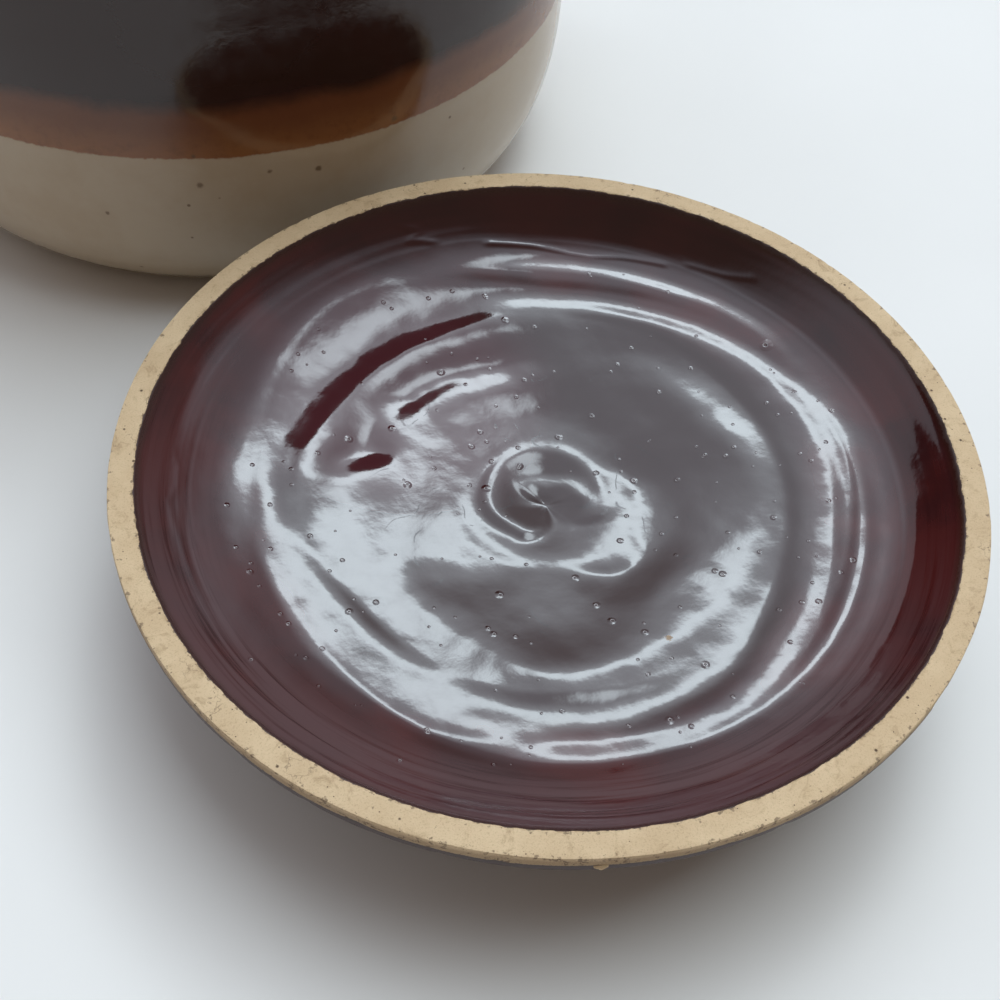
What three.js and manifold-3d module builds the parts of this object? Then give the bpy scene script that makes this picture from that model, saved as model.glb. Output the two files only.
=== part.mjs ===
// Stoneware bean pot with its lid taken off and lying upside down beside it.
// Millimetres, +Z up. The origin is the centre of the pot's flat foot, the ears
// point along X and the lid lies towards -Y, standing on the flat top of its knob.

import * as THREE from 'three';
import { mergeVertices } from 'three/addons/utils/BufferGeometryUtils.js';
import Module from 'manifold-3d';

const wasm = await Module();
wasm.setup();

// Pot body
const bodyHeight = 116; // table to the top of the lip
const footRadius = 76; // where the wall would meet the table
const footBevel = 1.5;
const bellyRadius = 92.6; // widest outside radius
const bellyHeight = 58; // height of the widest place
const bellyFullness = 4.3; // exponent of the outside curve from the foot to the belly
const hollowFullness = 2.5; // exponent of the inside curve from the floor to the belly
const wall = 6.5;
const floorThickness = 8;
const neckDrop = 19; // from the top of the lip down to the neck's waist
const neckWall = 3; // clay outside the lid's recess at the waist
const lipThickness = 5;
const galleryDepth = 9.5; // from the top of the lip down to the ledge
const ledgeWidth = 9.5;
const ledgeThickness = 5;
const corbelHeight = 16; // the swell under the ledge that carries it

// Lid
const lidRadius = 84;
const lidClearance = 1.5; // between the lid's edge and the lip
const landWidth = 4.9; // bare flat rim that sits on the ledge
const edgeHeight = 2.9; // bare upright edge of the rim
const skirtRun = 9.9; // how far in the steep wall inside the rim reaches
const skirtDepth = 8.2;
const dishDepth = 16.2; // from the rim's plane to the middle of the hollow
const dishBow = 1.5; // exponent of the hollow's curve
const dimpleDepth = 1.2; // where the spiral of throwing rings starts
const dimpleRadius = 11;
const ringHeight = 0.45; // throwing rings, crest above mean
const ringPitch = 9;
const lidThickness = 6.3;
const lidGap = 7.7; // between the lid on the table and the pot's widest place

// Knob
const knobHeight = 16.5; // from the lid's crown to the knob's flat top
const knobRadius = 18;
const knobStemRadius = 13;
const knobFootRadius = 16;
const knobRound = 3.5;
const knobWaistLow = 0.3; // shares of the stem's height between which it stays slim
const knobWaistHigh = 0.6;

// Ears
const earSpan = 36; // between the middles of the two roots
const earReach = 21; // from the wall to the middle of the strap
const earWidth = 16;
const earThickness = 8.5;
const earFlare = 9; // length of the strap over which each root widens
const earFlareShare = 0.5; // how much wider a root is than the strap

// Luted joints keep this much slip between the pieces
const slip = 0.3;

// Fineness of the turned and swept surfaces
const turns = 48;
const knobTurns = 32;
const earSides = 12;
const earSteps = 18;
const curveSteps = 9;
const shortSteps = 3;
const ringSteps = 4; // outline points for each throwing ring

// Places that follow from the sizes above
const lipInnerRadius = lidRadius + lidClearance;
const lipOuterRadius = lipInnerRadius + lipThickness;
const ledgeRadius = lipInnerRadius - ledgeWidth;
const ledgeHeight = bodyHeight - galleryDepth;
const neckRadius = lipInnerRadius + neckWall;
const neckHeight = bodyHeight - neckDrop;
const corbelTop = ledgeHeight - ledgeThickness;
const corbelFoot = corbelTop - corbelHeight;
const lipRound = lipThickness / 2;
const lipShoulder = bodyHeight - lipRound;
const landRadius = lidRadius - landWidth;
const skirtRadius = landRadius - skirtRun;
const crownHeight = dishDepth + lidThickness;
const lidHeight = crownHeight + knobHeight;
const lidDistance = Math.max(bellyRadius, lipOuterRadius) + lidGap + lidRadius;

const glaze = { roughness: 0.18, metalness: 0 };
const materials = {
  pot: new THREE.MeshStandardMaterial({ color: 0xb3a58e, ...glaze }),
  ear: new THREE.MeshStandardMaterial({ color: 0x2c1512, ...glaze }),
  lid: new THREE.MeshStandardMaterial({ color: 0x44191a, ...glaze }),
  knob: new THREE.MeshStandardMaterial({ color: 0x341715, ...glaze }),
};

// Eases from 1 at the start of a stretch to 0 at its end
const ease = (share) => 0.5 + 0.5 * Math.cos(Math.PI * THREE.MathUtils.clamp(share, 0, 1));

// A list of evenly spaced values from one end of a stretch to the other
const spread = (from, to, steps) =>
  Array.from({ length: steps + 1 }, (_, i) => THREE.MathUtils.lerp(from, to, i / steps));

// Outside radius of the pot, from the foot to the underside of the lip
function outerRadius(height) {
  if (height <= bellyHeight) {
    return bellyRadius - (bellyRadius - footRadius) * Math.pow(1 - height / bellyHeight, bellyFullness);
  }
  const share = (height - bellyHeight) / (neckHeight - bellyHeight);
  if (share <= 1) return neckRadius + (bellyRadius - neckRadius) * ease(share);
  const rise = (height - neckHeight) / (lipShoulder - neckHeight);
  return lipOuterRadius + (neckRadius - lipOuterRadius) * ease(rise);
}

// Inside radius of the pot, from the underside of the ledge to the floor
function innerRadius(height) {
  if (height <= bellyHeight) {
    const share = (bellyHeight - height) / (bellyHeight - floorThickness);
    const fullness = Math.pow(1 - Math.pow(share, hollowFullness), 1 / hollowFullness);
    const floorRadius = footRadius - floorThickness;
    return floorRadius + (bellyRadius - wall - floorRadius) * fullness;
  }
  const shell = outerRadius(height) - wall;
  return shell + (ledgeRadius - shell) * ease((corbelTop - height) / (corbelTop - corbelFoot));
}

// Heights that crowd towards the foot, where the bowl turns fastest
const bowlHeights = (bottom) =>
  spread(0, 1, curveSteps).map((share) => bottom + (bellyHeight - bottom) * share * share);

function turned(outline, segments) {
  const geometry = new THREE.LatheGeometry(outline, segments);
  return geometry.rotateX(Math.PI / 2);
}

const point = (radius, height) => new THREE.Vector2(radius, height);

// Semicircle over the top of the lip, from its outside to its inside
function lipArc() {
  const middle = lipInnerRadius + lipRound;
  const arc = new THREE.EllipseCurve(middle, lipShoulder, lipRound, lipRound, 0, Math.PI);
  return arc.getPoints(curveSteps);
}

function potOutline() {
  const shoulder = spread(bellyHeight, neckHeight, curveSteps).slice(1);
  const collar = spread(neckHeight, lipShoulder, shortSteps).slice(1, -1);
  const corbel = spread(corbelTop, corbelFoot, 2 * shortSteps);
  const inside = spread(corbelFoot, bellyHeight, 2 * shortSteps).slice(1);
  const outside = [...bowlHeights(footBevel), ...shoulder, ...collar];
  return [
    point(0, 0),
    point(footRadius - footBevel, 0),
    ...outside.map((height) => point(outerRadius(height), height)),
    ...lipArc(),
    point(lipInnerRadius, ledgeHeight),
    point(ledgeRadius, ledgeHeight),
    ...[...corbel, ...inside].map((height) => point(innerRadius(height), height)),
    ...bowlHeights(floorThickness).reverse().slice(1).map((height) => point(innerRadius(height), height)),
    point(0, floorThickness),
  ];
}

// Depth of the lid's hollow below the plane of its rim, rings included
function hollowDepth(radius) {
  const bow = skirtDepth + (dishDepth - skirtDepth) * (1 - Math.pow(radius / skirtRadius, dishBow));
  const dimple = dimpleDepth * Math.exp(-Math.pow(radius / dimpleRadius, 2));
  const fade = ease((radius - (skirtRadius - ringPitch)) / ringPitch);
  const ring = ringHeight * fade * Math.cos((2 * Math.PI * radius) / ringPitch);
  return bow + dimple + ring;
}

// Height of the lid's outside above the plane of its rim
function domeHeight(radius) {
  const share = Math.min(1, radius / lidRadius);
  return edgeHeight + (crownHeight - edgeHeight) * Math.sqrt(1 - share * share);
}

// The lid as it sits on the pot: rim down, knob up
function lidOutline() {
  const ringPoints = Math.ceil((ringSteps * skirtRadius) / ringPitch);
  const hollow = spread(0, skirtRadius, ringPoints);
  const dome = spread(0, Math.PI / 2, curveSteps).map((angle) => lidRadius * Math.cos(angle));
  return [
    ...hollow.map((radius) => point(radius, hollowDepth(radius))),
    point(landRadius, 0),
    point(lidRadius, 0),
    ...dome.map((radius) => point(radius, domeHeight(radius))),
  ];
}

// The knob, from its seat on the dome to its flat top
function knobOutline() {
  const seatHeight = (radius) => domeHeight(radius) + slip;
  const seat = spread(0, knobFootRadius, shortSteps).map((radius) => point(radius, seatHeight(radius)));
  const seatTop = seatHeight(knobFootRadius);
  const headHeight = lidHeight - knobRound;
  const waist = new THREE.CubicBezierCurve(
    point(knobFootRadius, seatTop),
    point(knobStemRadius, THREE.MathUtils.lerp(seatTop, headHeight, knobWaistLow)),
    point(knobStemRadius, THREE.MathUtils.lerp(seatTop, headHeight, knobWaistHigh)),
    point(knobRadius, headHeight),
  );
  const flatRadius = knobRadius - knobRound;
  const brow = new THREE.EllipseCurve(flatRadius, headHeight, knobRound, knobRound, 0, Math.PI / 2);
  return [
    ...seat,
    ...waist.getPoints(curveSteps).slice(1),
    ...brow.getPoints(shortSteps).slice(1),
    point(0, lidHeight),
  ];
}

// A closed solid that can be joined and cut
function toSolid(geometry) {
  const bare = new THREE.BufferGeometry();
  bare.setAttribute('position', geometry.getAttribute('position'));
  bare.setIndex(geometry.getIndex());
  const merged = mergeVertices(bare, 1e-3);
  const corners = merged.getIndex().array;
  const kept = [];
  for (let i = 0; i < corners.length; i += 3) {
    const [a, b, c] = corners.slice(i, i + 3);
    if (a !== b && b !== c && c !== a) kept.push(a, b, c);
  }
  return new wasm.Manifold(
    new wasm.Mesh({
      numProp: 3,
      vertProperties: new Float32Array(merged.getAttribute('position').array),
      triVerts: new Uint32Array(kept),
    }),
  );
}

function toGeometry(solid) {
  const mesh = solid.getMesh();
  const geometry = new THREE.BufferGeometry();
  geometry.setAttribute('position', new THREE.BufferAttribute(mesh.vertProperties, 3));
  geometry.setIndex(new THREE.BufferAttribute(mesh.triVerts, 1));
  geometry.computeVertexNormals();
  return geometry;
}

// The space that the pot's wall fills, swollen by the slip of a luted joint
function wallSpace() {
  const heights = [...bowlHeights(0), ...spread(bellyHeight, lipShoulder, curveSteps * 2).slice(1)];
  const skin = heights.map((height) => point(outerRadius(height) + slip, height));
  return toSolid(turned([point(0, 0), ...skin, point(0, lipShoulder)], turns));
}

// Widens a strap towards the wall, about the middle of its nearer root
function flareRoots(strap, low, high) {
  const corners = strap.getAttribute('position');
  for (let i = 0; i < corners.count; i += 1) {
    const height = corners.getZ(i);
    const root = height < (low + high) / 2 ? low : high;
    const nearness = 1 - THREE.MathUtils.clamp((corners.getX(i) - outerRadius(root)) / earFlare, 0, 1);
    const widening = 1 + earFlareShare * nearness * nearness;
    corners.setY(i, corners.getY(i) * widening);
    corners.setZ(i, root + (height - root) * widening);
  }
}

// An ear on the +X side: an oval strap bent out from the wall, widened at both roots
function earGeometry() {
  const middle = (bellyHeight + neckHeight) / 2;
  const low = middle - earSpan / 2;
  const high = middle + earSpan / 2;
  const reach = outerRadius(middle) + earReach;
  const route = new THREE.CatmullRomCurve3([
    new THREE.Vector3(outerRadius(low) - wall / 2, 0, low),
    new THREE.Vector3(outerRadius(low) + earReach * 0.5, 0, low - earThickness * 0.1),
    new THREE.Vector3(reach, 0, middle - earSpan * 0.1),
    new THREE.Vector3(reach - earReach * 0.2, 0, high - earThickness * 0.3),
    new THREE.Vector3(outerRadius(high) + earReach * 0.3, 0, high + earThickness * 0.25),
    new THREE.Vector3(outerRadius(high) - wall / 2, 0, high),
  ]);
  const oval = new THREE.EllipseCurve(0, 0, earWidth / 2, earThickness / 2);
  const section = new THREE.Shape(oval.getPoints(earSides).slice(0, earSides));
  const strap = new THREE.ExtrudeGeometry(section, { steps: earSteps, extrudePath: route });
  flareRoots(strap, low, high);
  return toGeometry(toSolid(strap).subtract(wallSpace()));
}

function piece(name, geometry, material) {
  const mesh = new THREE.Mesh(geometry, material);
  mesh.name = name;
  return mesh;
}

const beanPot = new THREE.Group();

beanPot.add(piece('pot_body', turned(potOutline(), turns), materials.pot));

const rightEar = piece('ear_right', earGeometry(), materials.ear);
const leftEar = piece('ear_left', earGeometry(), materials.ear);
leftEar.rotation.z = Math.PI;
beanPot.add(rightEar, leftEar);

const lid = new THREE.Group();
lid.add(piece('lid', turned(lidOutline(), turns), materials.lid));
lid.add(piece('lid_knob', turned(knobOutline(), knobTurns), materials.knob));
lid.rotation.x = Math.PI;
lid.position.set(0, -lidDistance, lidHeight);
beanPot.add(lid);

export default beanPot;
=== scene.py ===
# Stoneware bean pot with its lid lying upside down beside it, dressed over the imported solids
import math
import random

import bmesh
import bpy
from mathutils import Matrix, Vector, noise


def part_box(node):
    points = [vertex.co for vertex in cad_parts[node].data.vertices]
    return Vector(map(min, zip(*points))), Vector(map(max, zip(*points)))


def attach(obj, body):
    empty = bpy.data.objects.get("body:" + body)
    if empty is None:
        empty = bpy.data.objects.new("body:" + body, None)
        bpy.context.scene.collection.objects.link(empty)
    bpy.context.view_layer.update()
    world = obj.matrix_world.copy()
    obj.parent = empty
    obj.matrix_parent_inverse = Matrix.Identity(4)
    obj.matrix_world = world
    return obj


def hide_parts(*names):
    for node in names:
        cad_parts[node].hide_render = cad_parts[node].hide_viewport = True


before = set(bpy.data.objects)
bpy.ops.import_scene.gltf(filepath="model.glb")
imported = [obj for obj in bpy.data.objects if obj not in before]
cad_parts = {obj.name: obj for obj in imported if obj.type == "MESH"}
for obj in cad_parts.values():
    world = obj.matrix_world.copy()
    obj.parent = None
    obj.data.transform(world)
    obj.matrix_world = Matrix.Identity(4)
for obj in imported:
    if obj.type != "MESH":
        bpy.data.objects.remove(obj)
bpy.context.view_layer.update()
mm = 0.001  # sizes below are in millimetres, as on the drawing

# The pot stands at the origin, and the lid is measured from the middle of its rim's plane
lidLow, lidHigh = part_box("lid")
lidCentre = Vector(((lidLow.x + lidHigh.x) / 2, (lidLow.y + lidHigh.y) / 2, lidHigh.z))
potCentre = Vector((0, 0, 0))


def ease(share):
    return 0.5 + 0.5 * math.cos(math.pi * min(1.0, max(0.0, share)))


def softMin(a, b, blend):
    low = min(a, b)
    return low - blend * math.log(math.exp((low - a) / blend) + math.exp((low - b) / blend))


def spread(start, end, steps):
    return [start + (end - start) * i / steps for i in range(steps + 1)]


# How the photograph was taken: the eye's place from the rim's middle, seen along the heading
view = {
    "heading": 31.2,  # degrees from +Y towards +X
    "eye": (-9.3, -176.8, 204.0),  # right, away, up
    "pitch": 51.3,
    "roll": 4.4,
    "lens": 50.4,
    "sensor": 36.0,
}
heading = math.radians(view["heading"])
away = Vector((math.sin(heading), math.cos(heading), 0))
right = Vector((math.cos(heading), -math.sin(heading), 0))
up = Vector((0, 0, 1))


def setCamera():
    pitch = math.radians(view["pitch"])
    roll = math.radians(view["roll"])
    look = math.cos(pitch) * away - math.sin(pitch) * up
    rise = math.sin(pitch) * away + math.cos(pitch) * up
    imageRight = math.cos(roll) * right + math.sin(roll) * rise
    imageUp = math.cos(roll) * rise - math.sin(roll) * right
    place = lidCentre + mm * (view["eye"][0] * right + view["eye"][1] * away + view["eye"][2] * up)
    data = bpy.data.cameras.new("camera")
    data.lens = view["lens"]
    data.sensor_width = view["sensor"]
    data.clip_start = 0.01
    camera = bpy.data.objects.new("camera", data)
    axes = Matrix((imageRight, imageUp, -look)).transposed()
    camera.matrix_world = Matrix.Translation(place) @ axes.to_4x4()
    bpy.context.scene.collection.objects.link(camera)
    bpy.context.scene.camera = camera


setCamera()
print("camera set")


# Node helpers: a node joins the tree that its first linked input is in
def addNode(kind, inputs, tree=None, **settings):
    linked = {name: value for name, value in inputs.items() if isinstance(value, bpy.types.NodeSocket)}
    if tree is None:
        tree = next(iter(linked.values())).id_data
    node = tree.nodes.new("ShaderNode" + kind)
    for name, value in settings.items():
        setattr(node, name, value)
    for name, value in inputs.items():
        if name in linked:
            tree.links.new(value, node.inputs[name])
        else:
            node.inputs[name].default_value = value
    return node


def maths(operation, first, second=0.0):
    return addNode("Math", {0: first, 1: second}, operation=operation).outputs[0]


def times(first, second):
    return maths("MULTIPLY", first, second)


def plus(first, second):
    return maths("ADD", first, second)


def minus(first, second):
    return maths("SUBTRACT", first, second)


def larger(first, second):
    return maths("MAXIMUM", first, second)


def vectorMaths(operation, inputs, output=0):
    return addNode("VectorMath", inputs, operation=operation).outputs[output]


def step(value, low, high, toLow=0.0, toHigh=1.0):
    inputs = {"Value": value, "From Min": low, "From Max": high, "To Min": toLow, "To Max": toHigh}
    return addNode("MapRange", inputs, interpolation_type="SMOOTHSTEP").outputs["Result"]


def grain(place, scale, detail=3.0, rough=0.55, twist=0.0):
    inputs = {"Vector": place, "Scale": scale, "Detail": detail, "Roughness": rough, "Distortion": twist}
    return addNode("TexNoise", inputs).outputs[0]


def blendColour(share, first, second):
    return addNode("Mix", {0: share, 6: first, 7: second}, data_type="RGBA").outputs[2]


def blendValue(share, first, second):
    return addNode("Mix", {0: share, 2: first, 3: second}, data_type="FLOAT").outputs[0]


def bumped(height, strength, distance, below=None):
    inputs = {"Height": height, "Strength": strength, "Distance": distance * mm}
    if below is not None:
        inputs["Normal"] = below
    return addNode("Bump", inputs).outputs[0]


def specks(place, scale, size, share):
    cells = addNode("TexVoronoi", {"Vector": place, "Scale": scale, "Randomness": 1.0})
    lot = addNode("SeparateColor", {0: cells.outputs["Color"]}).outputs[0]
    chosen = maths("LESS_THAN", lot, share)
    dot = step(cells.outputs["Distance"], size * 0.45, size, 1.0, 0.0)
    return times(dot, chosen)


def startMaterial(name, centre):
    material = bpy.data.materials.new(name)
    material.use_nodes = True
    shader = material.node_tree.nodes["Principled BSDF"]
    coordinates = addNode("TexCoord", {}, material.node_tree)
    inputs = {
        "Vector": coordinates.outputs["Object"],
        "Location": tuple(-v / mm for v in centre),
        "Scale": (1 / mm, 1 / mm, 1 / mm),
    }
    return material, shader, addNode("Mapping", inputs).outputs[0]


def linkAll(shader, **sockets):
    for name, value in sockets.items():
        socket = shader.inputs[name.replace("_", " ")]
        if isinstance(value, bpy.types.NodeSocket):
            shader.id_data.links.new(value, socket)
        else:
            socket.default_value = value


def tint(red, green, blue):
    return (red, green, blue, 1.0)


# Mesh helpers
crispAngle = 50.0  # edges bent more than this stay crisp
mergeWithin = 0.01 * mm


def spinRound(bm, verts, centre, axis, steps):
    edges = [bm.edges.new(pair) for pair in zip(verts, verts[1:])]
    bmesh.ops.spin(
        bm,
        geom=verts + edges,
        cent=centre,
        axis=axis,
        angle=2 * math.pi,
        steps=steps,
        use_merge=True,
    )


def spunShell(outline, centre, steps):
    bm = bmesh.new()
    verts = []
    for radius, height in outline:
        verts.append(bm.verts.new((radius * mm + centre.x, centre.y, height * mm + centre.z)))
    spinRound(bm, verts, centre, (0, 0, 1), steps)
    bmesh.ops.remove_doubles(bm, verts=bm.verts, dist=mergeWithin)
    bmesh.ops.recalc_face_normals(bm, faces=bm.faces)
    return bm


def makePiece(name, bm, materials, body, nodes=()):
    mesh = bpy.data.meshes.new(name)
    for face in bm.faces:
        face.smooth = True
    bm.to_mesh(mesh)
    bm.free()
    mesh.set_sharp_from_angle(angle=math.radians(crispAngle))
    for material in materials:
        mesh.materials.append(material)
    piece = bpy.data.objects.new(name, mesh)
    bpy.context.scene.collection.objects.link(piece)
    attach(piece, body)
    if nodes:
        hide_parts(*nodes)
    print(name, len(mesh.polygons), "faces")
    return piece


# The lid, as it lies: heights are below the plane of its rim
lidForm = {
    "radius": 84.0,
    "land": 79.1,  # inner edge of the bare rim
    "edgeRound": 0.4,
    "edge": 2.9,
    "floorDepth": 8.2,
    "floorRadius": 69.2,
    "dishDepth": 16.2,
    "bow": 1.5,
    "dimpleDepth": 1.0,
    "dimpleRadius": 11.0,
    "wallSlope": 0.735,
    "wallLean": 0.14,  # the wall is steeper on one side
    "wallLeanAt": 45.0,
    "wallTop": 0.4,
    "lipSlope": 1.9,
    "wallBlend": 1.2,
    "crown": 22.5,
    "steps": 500,
}

# Throwing rings and swells that the fingers left: width inside and outside the crest,
# then degree, radius and height along it
throwingRings = {
    "farArc": (3.5, 2.5, [(35, 63, 0), (50, 63, 0.3), (70, 61, 0.4), (95, 61, 0.3), (130, 62, 0)]),
    "spiral": (7.0, 3.5, [
        (255, 64, 0), (280, 62, -0.4), (305, 60, 0.6), (355, 55, 0.6), (385, 56, 0.45),
        (455, 49, 0.55), (485, 46, 0.45), (515, 46, 0.4), (540, 48, 0.55), (560, 50, 0),
    ]),
    "second": (8.0, 8.0, [
        (-50, 42, 0), (10, 44, 0.65), (40, 39, 0.55), (75, 38, 0), (110, 34, 0.25), (155, 34, 0.25),
        (185, 34, 0),
    ]),
    "nearOne": (2.5, 4.0, [
        (170, 59, 0), (195, 59, 0.15), (220, 60, -0.4), (250, 61, -0.35), (280, 58, 0.35),
        (310, 59, 0),
    ]),
    "nearTwo": (4.5, 3.0, [
        (230, 51, 0), (245, 51, -0.1), (280, 53, -0.1), (305, 53, -0.4), (330, 49, -0.3),
        (350, 47, 0),
    ]),
    "nearThree": (8.0, 5.0, [
        (185, 32, 0), (210, 32, 0.2), (240, 36, 0.2), (275, 42, 0.65), (305, 40, 0.65), (360, 40, 0),
    ]),
    "bank": (6.0, 2.2, [
        (0, 11, 0.35), (90, 13, 0.2), (180, 11.5, 0.65), (240, 8.5, 0.65), (300, 4, 0.05),
        (360, 11, 0.35),
    ]),
    "swirl": (7.5, 2.5, [
        (-80, 6, 0), (-40, 6, 0.1), (0, 7.5, 0.3), (30, 6, 0.45), (90, 4, 0.45), (140, 5, 0.35),
        (180, 2, 0),
    ]),
    "inner": (6.0, 6.0, [
        (-70, 31, 0), (-40, 30, 0.65), (-10, 32, 0.15), (20, 32, 0), (50, 33, -0.15), (80, 33, 0),
    ]),
    "lowBank": (3.0, 8.0, [
        (170, 19, 0), (200, 20, -0.2), (280, 18, -0.2), (320, 24, -0.4), (350, 20, -0.25),
        (380, 19, -0.4), (410, 17, 0),
    ]),
    "left": (5.0, 5.5, [
        (85, 39, 0), (110, 36.5, -0.75), (142, 38.5, -0.65), (156, 39, -0.35), (168, 38, -0.6),
        (184, 44, 0), (210, 46, 0.15), (240, 46, 0),
    ]),
    "outer": (8.0, 8.0, [
        (120, 62, 0), (150, 61, 0.2), (180, 66, 0.3), (210, 65, 0.65), (240, 60, -0.4), (270, 58, 0),
    ]),
    "outerRight": (8.0, 2.2, [(300, 59, 0), (350, 59, 0.4), (375, 61, 0.6), (400, 60, 0)]),
    "swellIn": (8.0, 8.0, [
        (0, 23, -0.4), (45, 19, -0.4), (90, 23, -0.4), (135, 25, 0), (180, 29, 0.5), (225, 29, -0.4),
        (270, 21, 0.1), (315, 24, -0.4), (360, 23, -0.4),
    ]),
    "swellMid": (7.0, 2.5, [
        (0, 47, -0.3), (90, 49, -0.3), (135, 49, 0), (180, 52, 0.2), (225, 45, -0.4), (270, 47, 0.35),
        (315, 47, 0), (360, 47, -0.3),
    ]),
    "swellOut": (7.0, 2.2, [
        (0, 62, -0.4), (45, 60, -0.15), (90, 56, -0.4), (135, 64, 0.15), (180, 58, 0.1),
        (225, 57, -0.4), (270, 62, -0.4), (360, 62, -0.4),
    ]),
    "leftFillet": (7.5, 6.0, [(92, 68, 0), (112, 68, 0.9), (140, 68, 0.9), (160, 68, 0.8), (188, 67, 0)]),
}

# Wrinkles where the glaze crawled: points as degrees and radius, then width and height
glazeWrinkles = [
    ([(117, 77.0), (119, 75.0), (116, 73.2), (118, 71.5), (114, 70.2)], 0.70, 0.14),
    ([(54, 73.4), (56, 72.4), (59, 71.4), (62, 70.8), (66, 70.4)], 0.50, 0.13),
    ([(70, 68.6), (78, 67.6), (84, 66.2), (88, 66.4), (95, 67.8), (104, 68.4)], 0.6, 0.14),
    ([(183, 73.0), (186, 74.6), (190, 74.8), (193, 73.2), (190, 71.6), (186, 71.8), (183, 73.0)], 0.6, 0.03),
    ([(193, 73.2), (200, 72.0), (212, 71.0)], 0.6, 0.03),
    ([(318, 72.0), (324, 72.6), (330, 71.6)], 0.7, 0.05),
]
ringsSeen = {}


def alongRing(points, degree):
    for (d0, r0, h0), (d1, r1, h1) in zip(points, points[1:]):
        if d0 <= degree < d1:
            share = (degree - d0) / (d1 - d0)
            share = share * share * (3 - 2 * share)
            return r0 + (r1 - r0) * share, h0 + (h1 - h0) * share
    return None


def ringsAt(degree):
    key = round(degree, 2) % 360
    if key not in ringsSeen:
        ringsSeen[key] = []
        for inner, outer, points in throwingRings.values():
            for turn in (key - 360, key, key + 360):
                spot = alongRing(points, turn)
                if spot:
                    ringsSeen[key].append((inner, outer, *spot))
    return ringsSeen[key]


def wrinkleHeight(degree, radius):
    total = 0.0
    for points, width, height in glazeWrinkles:
        nearest = 1e9
        for (d0, r0), (d1, r1) in zip(points, points[1:]):
            x0 = ((d0 - degree + 180) % 360 - 180) * math.pi / 180 * radius
            x1 = x0 + (d1 - d0) * math.pi / 180 * radius
            y0 = r0 - radius
            y1 = r1 - radius
            if min(abs(x0), abs(x1)) > 12 or min(abs(y0), abs(y1)) > 6:
                continue
            span = (x1 - x0) ** 2 + (y1 - y0) ** 2
            share = min(1.0, max(0.0, -(x0 * (x1 - x0) + y0 * (y1 - y0)) / span))
            reach = math.hypot(x0 + share * (x1 - x0), y0 + share * (y1 - y0))
            nearest = min(nearest, reach)
        total += height * math.exp(-min(60.0, (nearest / width) ** 2))
    return total


def hollowDepth(radius, degree):
    f = lidForm
    share = min(1.0, radius / f["floorRadius"])
    floor = f["floorDepth"] + (f["dishDepth"] - f["floorDepth"]) * (1 - share ** f["bow"])
    floor += f["dimpleDepth"] * math.exp(-((radius / f["dimpleRadius"]) ** 2))
    slope = f["wallSlope"] + f["wallLean"] * math.cos(math.radians(degree - f["wallLeanAt"]))
    run = f["land"] - radius
    wall = softMin(f["wallTop"] + run * slope, run * f["lipSlope"], 0.3)
    return softMin(floor, wall, f["wallBlend"])


def ringHeight(radius, degree):
    total = 0.0
    for inner, outer, middle, height in ringsAt(degree):
        off = (radius - middle) / (inner if radius < middle else outer)
        if abs(off) < 4:
            total += height * math.exp(-off * off)
    return total * min(1.0, radius / 2.5)  # level at the very middle


# Unevenness of the glaze: lumps on the floor by height, size and layer, and grooves round the wall
glazeForm = {
    "lumps": [(0.050, 20, 3.1), (0.048, 9, 7.7), (0.027, 4.2, 1.9), (0.004, 2.2, 4.3)],
    "ripple": 0.004,  # ripples run outwards
    "rippleTurns": 12,
    "rippleLength": 16,
    "levelRadius": 8,
    "levelFade": 10,
    "grooveStart": 69,
    "grooveEnd": 78.6,
    "grooveDepth": 0.035,
    "grooveWander": 1.4,
    "groovePitch": 0.85,
}


def glazeLumps(radius, degree):
    f = glazeForm
    angle = math.radians(degree)
    x = radius * math.cos(angle)
    y = radius * math.sin(angle)
    total = 0.0
    for height, size, layer in f["lumps"]:
        total += height * noise.noise((x / size, y / size, layer))
    turns = f["rippleTurns"]
    ripple = noise.noise((turns * math.cos(angle), turns * math.sin(angle), radius / f["rippleLength"]))
    total += f["ripple"] * ripple
    fade = min(1.0, max(0.0, (radius - f["levelRadius"]) / f["levelFade"]))
    return total * fade


def wallGrooves(radius, degree):
    f = glazeForm
    if radius < f["grooveStart"] or radius > f["grooveEnd"]:
        return 0.0
    angle = math.radians(degree)
    wander = f["grooveWander"] * noise.noise((2.2 * math.cos(angle), 2.2 * math.sin(angle), 4.4))
    level = (radius + wander) * f["groovePitch"]
    depth = noise.noise((1.5 * math.cos(angle), 1.5 * math.sin(angle), level))
    fade = min(1.0, (radius - f["grooveStart"]) / 1.5) * min(1.0, (f["grooveEnd"] - radius) / 1.2)
    return f["grooveDepth"] * depth * fade


def hollowHeight(radius, degree):
    height = -hollowDepth(radius, degree)
    inside = min(1.0, max(0.0, (lidForm["land"] - 1.5 - radius) / 6.0))
    height += (ringHeight(radius, degree) + glazeLumps(radius, degree)) * inside
    return height + wallGrooves(radius, degree) + wrinkleHeight(degree, radius)


# Wear of the bare rim: how deep the slow wave, the grit, the dents and the nicks go
rimWear = {
    "wave": 0.10,
    "grit": 0.06,
    "dent": 0.45,
    "dentFrom": 0.30,
    "edgeWave": 0.12,
    "nick": 0.5,
    "nickFrom": 0.25,
}


def landWear(radius, degree):
    f = rimWear
    angle = math.radians(degree)
    x = radius * math.cos(angle)
    y = radius * math.sin(angle)
    wear = 0.5 + 0.5 * noise.noise((x / 14, y / 14, 2.0))
    grit = noise.noise((x / 1.3, y / 1.3, 6.0)) + 0.6 * noise.noise((x / 0.6, y / 0.6, 9.0))
    dent = max(0.0, noise.noise((x / 2.6, y / 2.6, 4.0)) - f["dentFrom"])
    return f["wave"] * wear + f["grit"] * max(0.0, grit) + f["dent"] * dent


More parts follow.
